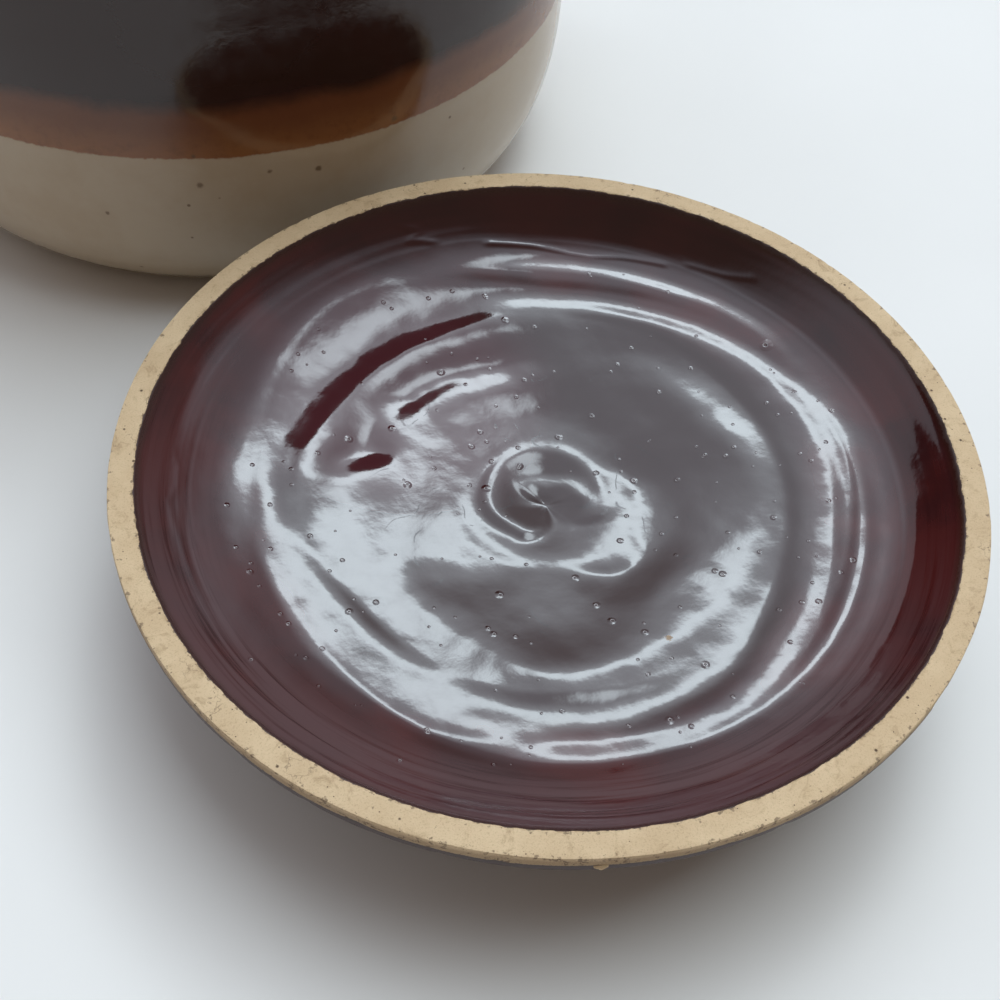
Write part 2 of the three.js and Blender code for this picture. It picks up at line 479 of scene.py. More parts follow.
def rolledRim(radius, height):
    # the outer corner is rolled over: half of the arc comes from the land, half from the edge
    bend = lidForm["edgeRound"]
    start = lidForm["radius"] - bend
    if height > -0.01:
        angle = math.pi / 4 * max(0.0, radius - start) / bend
    else:
        angle = math.pi / 4 * (1 + min(1.0, -height / bend))
    if angle == 0:
        return radius, 0.0
    level = height if height < -bend else -bend * (1 - math.cos(angle))
    return start + bend * math.sin(angle), level


def domeHeight(radius):
    share = min(1.0, radius / lidForm["radius"])
    return lidForm["edge"] + (lidForm["crown"] - lidForm["edge"]) * math.sqrt(1 - share * share)


def lidOutline():
    f = lidForm
    radii = spread(0, 10, 10) + spread(10, 66, 93)[1:] + spread(66, f["land"], 44)[1:]
    hollow = [(radius, -hollowDepth(radius, f["wallLeanAt"] + 90)) for radius in radii]
    hollow[-1] = (f["land"], 0.0)
    flat = spread(f["land"], f["radius"] - f["edgeRound"], 8)[1:]
    land = [(radius, 0.0) for radius in flat + [f["radius"] - f["edgeRound"] / 2, f["radius"]]]
    drops = [f["edgeRound"] / 2] + spread(f["edgeRound"], f["edge"], 4)
    edge = [(f["radius"], -height) for height in drops]
    dome = [f["radius"] * math.cos(angle) for angle in spread(0, math.pi / 2, 24)[1:]]
    return hollow + land + edge + [(max(0.0, radius), -domeHeight(radius)) for radius in dome]


def outwards(degree):
    angle = math.radians(degree)
    return math.cos(angle) * right + math.sin(angle) * away


def polar(vert):
    offset = (vert.co - lidCentre) / mm
    x = offset.dot(right)
    y = offset.dot(away)
    return math.hypot(x, y), math.degrees(math.atan2(y, x)) % 360, offset.z


def makeLid(material):
    f = lidForm
    w = rimWear
    bm = spunShell(lidOutline(), lidCentre, f["steps"])
    for vert in bm.verts:
        radius, degree, height = polar(vert)
        if radius < f["land"] - 0.05 and height > -domeHeight(radius) + 2:
            vert.co.z = lidCentre.z + mm * hollowHeight(radius, degree)
        out = Vector((vert.co.x - lidCentre.x, vert.co.y - lidCentre.y, 0)).normalized()
        pull = 0.0
        if height > -f["edge"] - 0.05 and radius > f["land"] - 0.05:
            rolled, level = rolledRim(radius, height)
            pull = radius - rolled
            wear = landWear(radius, degree) * min(1.0, max(0.0, 1 + height))
            vert.co.z = lidCentre.z + mm * (level - wear)
        if radius > 83.9 or (radius > 60 and height < 0.5 - domeHeight(radius)):
            # the hand-turned edge is never quite round
            chip = noise.noise((vert.co.x / 0.016, vert.co.y / 0.016, height / 5))
            nick = noise.noise((vert.co.x / 0.0035, vert.co.y / 0.0035, height / 3))
            nick = max(0.0, nick - w["nickFrom"])
            cut = w["edgeWave"] + w["edgeWave"] * chip + w["nick"] * nick
            pull += cut * min(1.0, (radius - 60) / 20)
        vert.co -= out * pull * mm
    bmesh.ops.recalc_face_normals(bm, faces=bm.faces)
    return makePiece("lid_shell", bm, [material], "lid", ["lid"])


# Oxblood glaze inside and out, bare buff clay on the rim
lidFinish = {
    "dark": tint(0.029, 0.0062, 0.0066),
    "red": tint(0.056, 0.0085, 0.0078),
    # painted sheen: a pale reflection painted on the near side of the wall, and the side it faces
    "paintedSheen": tint(0.090, 0.050, 0.053),
    "paintedSheenAt": 262.0,
    # painted shade for the far side of the wall
    "paintedShade": tint(0.015, 0.004, 0.0045),
    "back": tint(0.026, 0.009, 0.007),
    "clay": tint(0.54, 0.395, 0.242),
    "clayPale": tint(0.60, 0.452, 0.285),
    "clayBurnt": tint(0.25, 0.155, 0.075),
    "speck": tint(0.06, 0.03, 0.017),
    "rimDark": tint(0.032, 0.012, 0.008),
    "tide": tint(0.006, 0.002, 0.002),
    "rustTint": tint(0.22, 0.12, 0.035),
    "rust": (305.4, 40.8, 0.75),  # degree, radius and size of one spot
    "flush": (145.0, 40.0, 38.0),  # degree, radius and size of a patch that breaks redder
    "flushTint": tint(0.053, 0.013, 0.016),
    "ragged": 0.45,  # how far the glaze's edge strays
}


# Bare clay: sandy, scuffed, cracked in places, peppered with iron
def clayColours(place):
    f = lidFinish
    cloud = grain(place, 0.10, 4.0, 0.6)
    sand = grain(place, 3.2, 2.0, 0.7)
    clay = blendColour(step(cloud, 0.35, 0.68), f["clay"], f["clayPale"])
    clay = blendColour(step(sand, 0.50, 0.78, 0.0, 0.42), clay, f["clayBurnt"])
    pale = step(grain(place, 2.1, 2.0, 0.7), 0.56, 0.75, 0.0, 0.6)
    clay = blendColour(pale, clay, f["clayPale"])
    scuff = step(grain(place, 0.26, 5.0, 0.7, 1.2), 0.52, 0.72, 0.0, 0.5)
    clay = blendColour(scuff, clay, f["clayBurnt"])
    iron = larger(specks(place, 0.30, 0.11, 0.55), specks(place, 0.70, 0.11, 0.30))
    iron = larger(iron, specks(place, 0.10, 0.055, 0.55))
    wander = addNode("TexNoise", {"Vector": place, "Scale": 0.5, "Detail": 3.0})
    bent = vectorMaths("SCALE", {0: wander.outputs["Color"], 3: 5.0})
    bent = vectorMaths("ADD", {0: place, 1: bent})
    cells = {"Vector": bent, "Scale": 0.13}
    veins = addNode("TexVoronoi", cells, feature="DISTANCE_TO_EDGE")
    crack = step(veins.outputs["Distance"], 0.004, 0.014, 0.5, 0.0)
    crack = times(crack, step(grain(place, 0.06, 1.0), 0.60, 0.66))
    marks = larger(iron, crack)
    clay = blendColour(times(marks, 0.9), clay, f["speck"])
    return clay, minus(sand, times(marks, 0.8))


def makeLidFinish():
    f = lidFinish
    material, shader, place = startMaterial("lid_oxblood_glaze", lidCentre)
    parts = addNode("SeparateXYZ", {0: place})
    flat = addNode("CombineXYZ", {0: parts.outputs[0], 1: parts.outputs[1]}).outputs[0]
    radius = vectorMaths("LENGTH", {0: flat}, "Value")
    height = parts.outputs[2]
    compass = vectorMaths("NORMALIZE", {0: flat})

    # edge of the glaze against the bare rim
    stray = minus(grain(place, 0.32, 2.0), 0.5)
    teeth = minus(grain(place, 1.9, 2.0, 0.7), 0.5)
    stray = plus(times(stray, 2 * f["ragged"]), times(teeth, 0.8 * f["ragged"]))
    past = minus(minus(radius, lidForm["land"]), stray)
    bare = step(past, -0.05, 0.09)
    lowEdge = plus(height, times(teeth, 0.5))
    bare = times(bare, step(lowEdge, -2.45, -2.3))

    # glaze: pools dark, breaks red, brushed round the wall; a painted sheen lies on the near side of the
    # wall and painted shade on the far side
    drift = grain(place, 0.045, 3.0, 0.5, 0.4)
    bands = vectorMaths("MULTIPLY", {0: compass, 1: (1.6, 1.6, 1.6)})
    bandPlace = addNode("SeparateXYZ", {0: bands})
    rise = times(radius, 0.9)
    bandPlace = addNode("CombineXYZ", {0: bandPlace.outputs[0], 1: bandPlace.outputs[1], 2: rise})
    brushed = grain(bandPlace.outputs[0], 1.0, 4.0, 0.6, 0.2)
    onWall = step(radius, 62.0, 71.0)
    redness = step(drift, 0.36, 0.70)
    streak = times(minus(brushed, 0.42), onWall)
    redness = plus(redness, times(streak, 1.1))
    glaze = blendColour(redness, f["dark"], f["red"])
    # painted sheen: a pale grey-mauve reflection painted on the near side of the wall
    side = vectorMaths("DOT_PRODUCT", {0: compass, 1: outwards(f["paintedSheenAt"])}, "Value")
    paintedSheen = times(step(side, -0.2, 0.85, 0.0, 0.7), step(brushed, 0.30, 0.54))
    glaze = blendColour(times(paintedSheen, onWall), glaze, f["paintedSheen"])
    # painted shade: the far side of the wall is painted darker
    paintedShade = times(step(side, -0.95, -0.35, 0.7, 0.0), onWall)
    glaze = blendColour(paintedShade, glaze, f["paintedShade"])
    rimDark = step(past, -1.7, -0.1)
    glaze = blendColour(times(rimDark, 0.75), glaze, f["rimDark"])
    outside = step(minus(height, times(radius, -0.26)), 2.0, 5.0, 1.0, 0.0)
    outside = times(outside, step(height, -4.0, -2.6, 1.0, 0.0))
    glaze = blendColour(outside, glaze, f["back"])

    def fromSpot(spot):
        middle = spot[1] * outwards(spot[0])
        return vectorMaths("DISTANCE", {0: flat, 1: middle}, "Value")

    # a redder patch, faint tide marks on the floor, and one rust spot
    flush = step(fromSpot(f["flush"]), f["flush"][2] * 0.5, f["flush"][2], 1.0, 0.0)
    glaze = blendColour(flush, glaze, f["flushTint"])
    tideNoise = grain(flat, 0.075, 1.0, 0.4)
    tide = step(maths("ABSOLUTE", minus(tideNoise, 0.57)), 0.002, 0.008, 0.5, 0.0)
    tide = times(tide, step(radius, 30.0, 38.0, 1.0, 0.0))
    tide = times(tide, step(grain(flat, 0.22, 2.0), 0.50, 0.57))
    glaze = blendColour(tide, glaze, f["tide"])
    reach = plus(fromSpot(f["rust"]), times(teeth, 1.6))
    rust = step(reach, f["rust"][2] * 0.4, f["rust"][2], 0.9, 0.0)
    glaze = blendColour(rust, glaze, f["rustTint"])

    # clay: stained at the glaze, painted shade on the outer edge face, chipped along both edges
    clay, gritty = clayColours(place)
    stain = times(step(past, 0.0, 0.5, 0.55, 0.0), step(grain(place, 0.6), 0.4, 0.7))
    clay = blendColour(stain, clay, f["clayBurnt"])
    # painted shade: the vertical outer edge face is painted darker than the land
    clay = blendColour(step(lowEdge, -1.3, -0.4, 0.55, 0.0), clay, f["clayBurnt"])
    nearEdge = larger(step(past, 0.1, 1.1, 0.15, 0.0), step(radius, 82.4, 83.6, 0.0, 0.15))
    chip = step(plus(grain(place, 0.8, 3.0, 0.6), nearEdge), 0.69, 0.80, 0.0, 0.6)
    clay = blendColour(chip, clay, f["speck"])
    gritty = minus(gritty, chip)

    colour = blendColour(bare, glaze, clay)
    shine = blendValue(step(grain(place, 0.35, 4.0), 0.35, 0.75), 0.06, 0.10)
    shine = blendValue(larger(rust, tide), shine, 0.4)
    dry = step(past, -0.9, -0.2)  # the glaze thins out matt at the rim
    shine = blendValue(dry, shine, 0.5)
    rough = blendValue(bare, shine, 0.82)
    peel = times(grain(place, 0.62, 2.0, 0.5), minus(1.0, bare))
    gritty = times(gritty, bare)
    normal = bumped(peel, 0.11, 0.10)
    normal = bumped(gritty, 0.6, 0.18, normal)
    ledge = times(step(past, -0.35, 0.25, 1.0, 0.0), step(height, -4.0, -2.0))
    normal = bumped(ledge, 0.25, 0.15, normal)
    linkAll(shader, Base_Color=colour, Roughness=rough, Normal=normal, IOR=1.55)
    return material


lidGlaze = makeLidFinish()
makeLid(lidGlaze)


# Burst bubbles in the glaze: small raised lips round pits; the lips carry a pale painted glint and the pits
# painted shade
pitForm = {
    "seed": 7,
    "count": 220,
    "least": 0.24,
    "most": 0.50,
    "steps": 12,
    "hole": 0.30,
    "lip": 0.48,
    "outline": [
        (0, -0.02), (0.20, -0.02), (0.30, 0.03), (0.40, 0.072), (0.55, 0.075), (0.80, 0.046), (1.10, 0.016),
        (1.5, -0.03),
    ],
    "reach": 64,  # radius that the strewn ones keep inside
    "sparse": (45, 180, 0.45),  # between these degrees only this share
    # pale painted glint colours for the lips
    "lipPaintedGlintDim": tint(0.08, 0.055, 0.055),
    "lipPaintedGlintBright": tint(0.20, 0.17, 0.17),
    # painted shade colours for the pits' flat middles, standing in for holes
    "holePaintedShadeDeep": tint(0.006, 0.002, 0.002),
    "holePaintedShadeSoft": tint(0.016, 0.004, 0.004),
    "placed": [  # degree, radius and size
        (43.1, 62.3, 1.15), (23, 63.3, 0.6), (103.8, 47.7, 0.7), (96, 45.5, 0.5), (128, 39, 0.85),
        (114, 57.7, 0.5), (107, 54.7, 0.5), (69.5, 24.6, 0.6), (15, 27.3, 0.6), (19.5, 38.3, 0.55),
        (52.5, 37.2, 0.5), (84, 17.2, 0.75), (106, 27.5, 0.45), (101, 31.7, 0.5), (132, 21.7, 0.6),
        (143, 20.1, 0.65), (133, 19, 0.45), (157, 35.5, 0.7), (167, 42, 0.8), (175, 46.7, 0.5),
        (180.5, 28, 0.75), (192, 62.7, 0.5), (200, 48, 0.5), (217, 59.6, 0.5), (219.5, 59.4, 0.5),
        (223, 48.5, 0.6), (224, 43, 0.55), (224, 70, 0.6), (227, 57.5, 0.5), (252, 60.4, 0.6),
        (252.5, 26, 0.8), (256.3, 35.8, 0.6), (254, 34.9, 0.5), (251, 69.4, 0.6), (275, 51, 0.5),
        (294.5, 56.5, 0.75), (294.5, 32.3, 0.75), (292, 27.6, 0.7), (288, 19.9, 0.7), (301, 37.5, 0.65),
        (308, 49.1, 0.75), (333, 38.5, 0.65), (333, 36.9, 0.55), (347, 60.8, 0.7), (335, 57, 0.5),
        (356, 45, 0.6), (116, 14.7, 0.5), (40, 12.9, 0.55), (22, 19, 0.8), (124, 10.4, 0.6),
        (126.5, 10.1, 0.5), (172, 15.8, 0.5), (172.5, 12.4, 0.7), (142.5, 14.7, 0.6), (329, 17.4, 0.6),
        (206.9, 61.1, 0.6), (191.1, 54.7, 0.5),
    ],
}


def makePits(skirt, lip, hole):
    f = pitForm
    chance = random.Random(f["seed"])
    pits = list(f["placed"])
    sparseFrom, sparseTo, sparseShare = f["sparse"]
    while len(pits) < f["count"]:
        degree = chance.uniform(0, 360)
        radius = f["reach"] * math.sqrt(chance.uniform(0.02, 1.0))
        size = f["least"] + (f["most"] - f["least"]) * chance.random() ** 2.2
        thinned = sparseShare if sparseFrom < degree < sparseTo else 1.0
        if chance.random() < thinned:
            pits.append((degree, radius, size))
    bm = bmesh.new()
    for degree, radius, size in pits:
        out = outwards(degree)
        centre = lidCentre + mm * radius * out
        centre.z = lidCentre.z + mm * hollowHeight(radius, degree)
        tilt = hollowHeight(radius + 0.5, degree) - hollowHeight(radius - 0.5, degree)
        axis = (up - tilt * out).normalized()
        side = axis.orthogonal().normalized()
        done = len(bm.faces)
        verts = [bm.verts.new(centre + mm * size * (side * r + axis * h)) for r, h in f["outline"]]
        spinRound(bm, verts, centre, axis, f["steps"])
        bm.faces.ensure_lookup_table()
        for face in bm.faces[done:]:
            reach = (face.calc_center_median() - centre).length / (size * mm)
            face.material_index = 2 if reach < f["hole"] else 1 if reach < f["lip"] else 0
    bmesh.ops.remove_doubles(bm, verts=bm.verts, dist=0.002 * mm)
    bmesh.ops.recalc_face_normals(bm, faces=bm.faces)
    for face in bm.faces:
        if face.normal.z < 0:
            face.normal_flip()
    return makePiece("glaze_pits", bm, [skirt, lip, hole], "lid")


def makePitFinish(name, pool, thin, shine, bend):
    material, shader, place = startMaterial(name, lidCentre)
    drift = grain(place, 0.4, 2.0)
    # pool and thin are a painted glint on the lips and painted shade in the pits
    colour = blendColour(step(drift, 0.4, 0.65), pool, thin)
    normal = bumped(grain(place, 4.0, 2.0), 0.2, 0.05)
    rough = step(drift, 0.3, 0.7, shine, shine * 1.6)
    linkAll(shader, Base_Color=colour, Roughness=rough, Normal=normal, IOR=bend)
    return material


makePits(
    lidGlaze,
    # lips: a pale painted glint
    makePitFinish("pit_lip_painted_glint", pitForm["lipPaintedGlintDim"], pitForm["lipPaintedGlintBright"], 0.08, 1.7),
    # pits: painted shade where there is no real hole
    makePitFinish("pit_hole_painted_shade", pitForm["holePaintedShadeDeep"], pitForm["holePaintedShadeSoft"], 0.30, 1.4),
)


# Dark brown glaze of the knob and the ears, warmer where it drifts thin
darkFinish = {
    "pool": tint(0.022, 0.009, 0.007),
    "thin": tint(0.075, 0.028, 0.014),
    "fleck": tint(0.012, 0.006, 0.005),
}


def makeDarkFinish(name, centre):
    f = darkFinish
    material, shader, place = startMaterial(name, centre)
    drift = grain(place, 0.06, 4.0, 0.6, 0.5)
    fleck = specks(place, 0.5, 0.12, 0.25)
    colour = blendColour(step(drift, 0.42, 0.72), f["pool"], f["thin"])
    colour = blendColour(times(fleck, 0.6), colour, f["fleck"])
    shine = step(grain(place, 0.4, 4.0), 0.35, 0.75, 0.08, 0.17)
    normal = bumped(grain(place, 0.6, 3.0), 0.3, 0.10)
    linkAll(shader, Base_Color=colour, Roughness=shine, Normal=normal, IOR=1.55)
    return material


knobForm = {
    "radius": 18.0,
    "stem": 13.0,
    "foot": 16.0,
    "round": 3.5,
    "height": 39.0,  # of its flat top above the rim when the lid is on
    "waistLow": 0.3,
    "waistHigh": 0.6,
    "wobble": 0.10,
    "steps": 128,
}


def waistCurve(points, share):
    rest = 1 - share
    weights = (rest**3, 3 * rest**2 * share, 3 * rest * share**2, share**3)
    return tuple(sum(weight * point[i] for weight, point in zip(weights, points)) for i in (0, 1))


def makeKnob(material):
    f = knobForm
    seat = [(radius, domeHeight(radius) - 0.6) for radius in spread(0, f["foot"] + 0.8, 6)]
    low = domeHeight(f["foot"])
    head = f["height"] - f["round"]
    waist = [
        (f["foot"], low),
        (f["stem"], low + (head - low) * f["waistLow"]),
        (f["stem"], low + (head - low) * f["waistHigh"]),
        (f["radius"], head),
    ]
    stem = [waistCurve(waist, share) for share in spread(0, 1, 26)]
    fillet = [(f["foot"] + 0.8, domeHeight(f["foot"] + 0.8) - 0.1)]
    brow = []
    for angle in spread(0, math.pi / 2, 10)[1:]:
        inset = f["round"] * (1 - math.cos(angle))
        brow.append((f["radius"] - inset, head + f["round"] * math.sin(angle)))
    flat = [(radius, f["height"]) for radius in spread(f["radius"] - f["round"], 0, 6)[1:]]
    outline = seat + fillet + stem + brow + flat
    bm = spunShell([(radius, -height) for radius, height in outline], lidCentre, f["steps"])
    for vert in bm.verts:
        radius, degree, height = polar(vert)
        if 4 < radius and -f["height"] + 0.5 < height < -low - 1:
            turn = math.radians(degree)
            wobble = noise.noise((0.5 * math.cos(turn), math.sin(turn), height / 1.8))
            pull = f["wobble"] + f["wobble"] * wobble
            out = Vector((vert.co.x - lidCentre.x, vert.co.y - lidCentre.y, 0)).normalized()
            vert.co -= out * pull * mm
    return makePiece("knob_turned", bm, [material], "lid", ["lid_knob"])


makeKnob(makeDarkFinish("knob_brown_glaze", lidCentre))


# Crumbs of clay that the fettling left on the rim's edge
crumbForm = {
    # degree, radius, drop and scale of each
    "places": [(277.6, 83.5, 3.0, 1.0), (263.6, 83.2, 3.0, 0.75), (279.4, 83.2, 2.9, 0.5)],
    "size": (1.3, 0.75, 0.70),
}


def makeCrumb(material):
    f = crumbForm
    length, depth, thickness = f["size"]
    bm = bmesh.new()
    for degree, radius, drop, scale in f["places"]:
        out = outwards(degree)
        along = up.cross(out)
        centre = lidCentre + mm * (radius * out - drop * up)
        for vert in bmesh.ops.create_icosphere(bm, subdivisions=3, radius=1.0)["verts"]:
            lump = scale * (1 + 0.35 * noise.noise(vert.co * 1.4 + Vector((degree, 0, 0))))
            x, y, z = vert.co * lump
            vert.co = centre + mm * (length * x * along + depth * y * out + thickness * z * up)
    return makePiece("rim_crumbs", bm, [material], "lid")


def makeClayFinish(name, centre):
    material, shader, place = startMaterial(name, centre)
    clay, gritty = clayColours(place)
    normal = bumped(gritty, 0.6, 0.18)
    rough = step(gritty, 0.3, 0.7, 0.74, 0.9)
    linkAll(shader, Base_Color=clay, Roughness=rough, Normal=normal, IOR=1.5)
    return material


makeCrumb(makeClayFinish("rim_clay", lidCentre))


# The pot, from the foot up
potForm = {
    "height": 115.9,
    "foot": 76.0,
    "footBevel": 1.5,
    "belly": 92.55,
    "bellyHeight": 58.0,
    "fullness": 4.3,
    "hollowFullness": 2.5,
    "wall": 6.5,
    "floor": 8.0,
    "neck": 88.5,
    "neckHeight": 97.0,
    "lipInner": 85.5,
    "lipOuter": 90.5,
    "ledge": 76.0,
    "ledgeHeight": 106.5,
    "ledgeThickness": 5.0,
    "corbel": 16.0,
    "band": 49.0,  # lower edge of the brown glaze
    "insideRings": 0.45,
    "outsideRings": 0.07,
    "steps": 288,
}


def outerRadius(height):
    f = potForm
    if height <= f["bellyHeight"]:
        return f["belly"] - (f["belly"] - f["foot"]) * (1 - height / f["bellyHeight"]) ** f["fullness"]
    share = (height - f["bellyHeight"]) / (f["neckHeight"] - f["bellyHeight"])
    if share <= 1:
        return f["neck"] + (f["belly"] - f["neck"]) * ease(share)
    shoulder = f["height"] - (f["lipOuter"] - f["lipInner"]) / 2
    share = (height - f["neckHeight"]) / (shoulder - f["neckHeight"])
    return f["lipOuter"] + (f["neck"] - f["lipOuter"]) * ease(share)


def innerRadius(height):
    f = potForm
    if height <= f["bellyHeight"]:
        share = (f["bellyHeight"] - height) / (f["bellyHeight"] - f["floor"])
        floorRadius = f["foot"] - f["floor"]
        fullness = (1 - min(1.0, share) ** f["hollowFullness"]) ** (1 / f["hollowFullness"])
        return floorRadius + (f["belly"] - f["wall"] - floorRadius) * fullness
    shell = outerRadius(height) - f["wall"]
    share = (f["ledgeHeight"] - f["ledgeThickness"] - height) / f["corbel"]
    return shell + (f["ledge"] - shell) * ease(share)


def insideWall(radius, height):
    return radius < 0.5 * (outerRadius(min(height, 113.0)) + innerRadius(min(height, 101.0)))


def potOutline():
    f = potForm
    lipRound = (f["lipOuter"] - f["lipInner"]) / 2
    shoulder = f["height"] - lipRound
    heel = [(f["foot"] - 8, 0.45), (f["foot"] - 6.5, 0.05), (f["foot"] - f["footBevel"] - 0.8, 0.0)]
    bevel = []
    for angle in spread(0, math.pi / 2, 4)[1:-1]:
        inset = f["footBevel"] * (1 - math.sin(angle))
        bevel.append((f["foot"] - inset - 0.3, f["footBevel"] * (1 - math.cos(angle))))
    bowl = [f["footBevel"] + (f["bellyHeight"] - f["footBevel"]) * share**1.7 for share in spread(0, 1, 36)]
    high = spread(f["bellyHeight"], shoulder, 34)[1:-1]
    outside = [(outerRadius(height), height) for height in bowl + high]
    lip = []
    lipMiddle = f["lipInner"] + lipRound
    for angle in spread(0, math.pi, 16):
        lip.append((lipMiddle + lipRound * math.cos(angle), shoulder + lipRound * math.sin(angle)))
    gallery = [(f["lipInner"], height) for height in spread(shoulder, f["ledgeHeight"] + 0.6, 4)[1:]]
    corner = [(f["lipInner"] - 0.2, f["ledgeHeight"] + 0.18), (f["lipInner"] - 0.7, f["ledgeHeight"])]
    ledge = [(radius, f["ledgeHeight"]) for radius in spread(f["lipInner"] - 2, f["ledge"] + 1.0, 4)]
    nose = [(f["ledge"] + 0.25, f["ledgeHeight"] - 0.25), (f["ledge"], f["ledgeHeight"] - 1.0)]
    under = f["ledgeHeight"] - f["ledgeThickness"]
    inside = [(innerRadius(height), height) for height in spread(under, f["bellyHeight"], 24)]
    rise = f["bellyHeight"] - f["floor"]
    basin = [f["floor"] + rise * (1 - share) ** 2 for share in spread(0, 1, 26)[1:]]
    hollow = [(innerRadius(height), height) for height in basin]
    floor = [(radius, f["floor"]) for radius in spread(f["foot"] - f["floor"], 0, 14)[1:]]
    start = [(radius, 0.45) for radius in spread(0, f["foot"] - 8, 8)[:-1]]
    return start + heel + bevel + outside + lip + gallery + corner + ledge + nose + inside + hollow + floor


def makePot(outsideGlaze, lining, clay):
    f = potForm
    bm = spunShell(potOutline(), potCentre, f["steps"])
    for vert in bm.verts:
        radius = math.hypot(vert.co.x, vert.co.y) / mm
        height = vert.co.z / mm
        if radius < 40:
            continue
        out = Vector((vert.co.x, vert.co.y, 0)).normalized()
        turn = math.atan2(vert.co.y, vert.co.x)
        spiral = noise.noise((0.9 * math.cos(turn), 0.9 * math.sin(turn), height / 3.4))
        swell = noise.noise((vert.co.x / 0.06, vert.co.y / 0.06, vert.co.z / 0.05))
        if insideWall(radius, height):
            pull = f["insideRings"] * spiral + 0.2 * swell if 10 < height < f["ledgeHeight"] - 6 else 0.0
        else:
            pull = -0.18 + f["outsideRings"] * spiral + 0.09 * swell if 2 < height < 113 else 0.0
        vert.co += out * pull * mm
    for face in bm.faces:
        centre = face.calc_center_median() / mm
        radius = math.hypot(centre.x, centre.y)
        onLedge = -0.6 < centre.z - f["ledgeHeight"] < 4.0 and radius < f["lipInner"] + 1.0
        if centre.z < 1.2 or onLedge:
            face.material_index = 2
        elif insideWall(radius, centre.z) and centre.z < f["ledgeHeight"] and radius < f["lipInner"] + 0.5:
            face.material_index = 1
    return makePiece("pot_thrown", bm, [outsideGlaze, lining, clay], "pot", ["pot_body"])


# Cream below, brown above: caramel where it ends, nearly black higher up
potFinish = {
    "cream": tint(0.46, 0.365, 0.257),
    "creamWarm": tint(0.43, 0.33, 0.223),
    "caramel": tint(0.26, 0.105, 0.036),
    "caramelDeep": tint(0.15, 0.052, 0.019),
    "dark": tint(0.028, 0.011, 0.007),
    "speck": tint(0.13, 0.075, 0.035),
    "heel": tint(0.62, 0.52, 0.36),
    "bandTop": 61.0,  # where the brown glaze lies thick
    "spots": [  # iron spots: place on the wall, then size
        ((-8.9, -92.1, 42.7), 1.1),
        ((-19.8, -90.4, 44.2), 0.8),
        ((-34.6, -85.8, 41.9), 1.0),
        ((-53.7, -74.8, 32.5), 0.7),
        ((10.0, -92.0, 50.5), 1.1),
        ((-35.1, -85.6, 49.8), 0.7),
    ],
}


def makePotFinish():
    f = potFinish
    material, shader, place = startMaterial("pot_two_tone_glaze", potCentre)
    height = addNode("SeparateXYZ", {0: place}).outputs[2]
    wave = times(minus(grain(place, 0.03, 2.0), 0.5), 2.4)
    ragged = times(minus(grain(place, 0.8, 3.0), 0.5), 0.9)
    level = plus(height, plus(wave, ragged))
    brown = step(level, potForm["band"] - 0.25, potForm["band"] + 0.35)
    runs = times(minus(grain(place, 0.05, 4.0, 0.6, 0.6), 0.5), 5.0)
    thick = plus(level, runs)
    caramel = blendColour(step(thick, 48.0, 59.0), f["caramel"], f["caramelDeep"])
    mottle = step(grain(place, 0.35, 4.0, 0.65), 0.45, 0.75, 0.0, 0.5)
    caramel = blendColour(mottle, caramel, f["caramelDeep"])
    coat = blendColour(step(thick, f["bandTop"] - 2.5, f["bandTop"] + 3.0), caramel, f["dark"])
    cloud = grain(place, 0.05, 4.0, 0.6)
    cream = blendColour(step(cloud, 0.40, 0.72), f["cream"], f["creamWarm"])
    seam = step(level, potForm["band"] - 2.2, potForm["band"], 0.0, 0.35)
    cream = blendColour(seam, cream, f["creamWarm"])
    dots = larger(specks(place, 0.060, 0.060, 0.25), specks(place, 0.16, 0.085, 0.12))
    cream = blendColour(times(dots, 0.85), cream, f["speck"])
    heel = step(height, 0.8, 2.2, 0.5, 0.0)
    cream = blendColour(heel, cream, f["heel"])
    colour = blendColour(brown, cream, coat)
    for spot, size in f["spots"]:
        reach = vectorMaths("DISTANCE", {0: place, 1: spot}, "Value")
        reach = plus(reach, ragged)
        colour = blendColour(step(reach, size * 0.35, size, 0.75, 0.0), colour, f["speck"])
    shine = step(grain(place, 0.25, 4.0), 0.35, 0.75, 0.11, 0.21)
    peel = grain(place, 0.5, 3.0)
    normal = bumped(peel, 0.25, 0.10)
    normal = bumped(brown, 0.25, 0.12, normal)
    linkAll(shader, Base_Color=colour, Roughness=shine, Normal=normal, IOR=1.52)
    return material


liningFinish = {
    "pool": tint(0.040, 0.012, 0.009),
    "thin": tint(0.105, 0.032, 0.016),
    "speck": tint(0.015, 0.006, 0.005),
}


def makeLiningFinish():
    f = liningFinish
    material, shader, place = startMaterial("pot_lining_glaze", potCentre)
    drift = grain(place, 0.04, 4.0, 0.6, 0.4)
    colour = blendColour(step(drift, 0.35, 0.72), f["pool"], f["thin"])
    dots = specks(place, 0.12, 0.09, 0.2)
    colour = blendColour(dots, colour, f["speck"])
    normal = bumped(grain(place, 0.5, 3.0), 0.3, 0.10)
    shine = step(grain(place, 0.3, 4.0), 0.35, 0.75, 0.09, 0.19)
    linkAll(shader, Base_Color=colour, Roughness=shine, Normal=normal, IOR=1.54)
    return material


makePot(makePotFinish(), makeLiningFinish(), makeClayFinish("pot_clay", potCentre))


# Ears: straps bent out from the shoulder, thumbed on at both roots
earForm = {
    "middle": 77.5,
    "span": 36.0,
    "reach": 21.0,
    "width": 16.0,
    "thickness": 8.5,
    "flare": 9.0,
    "flareShare": 0.5,
    "sides": 28,
    "steps": 44,
}


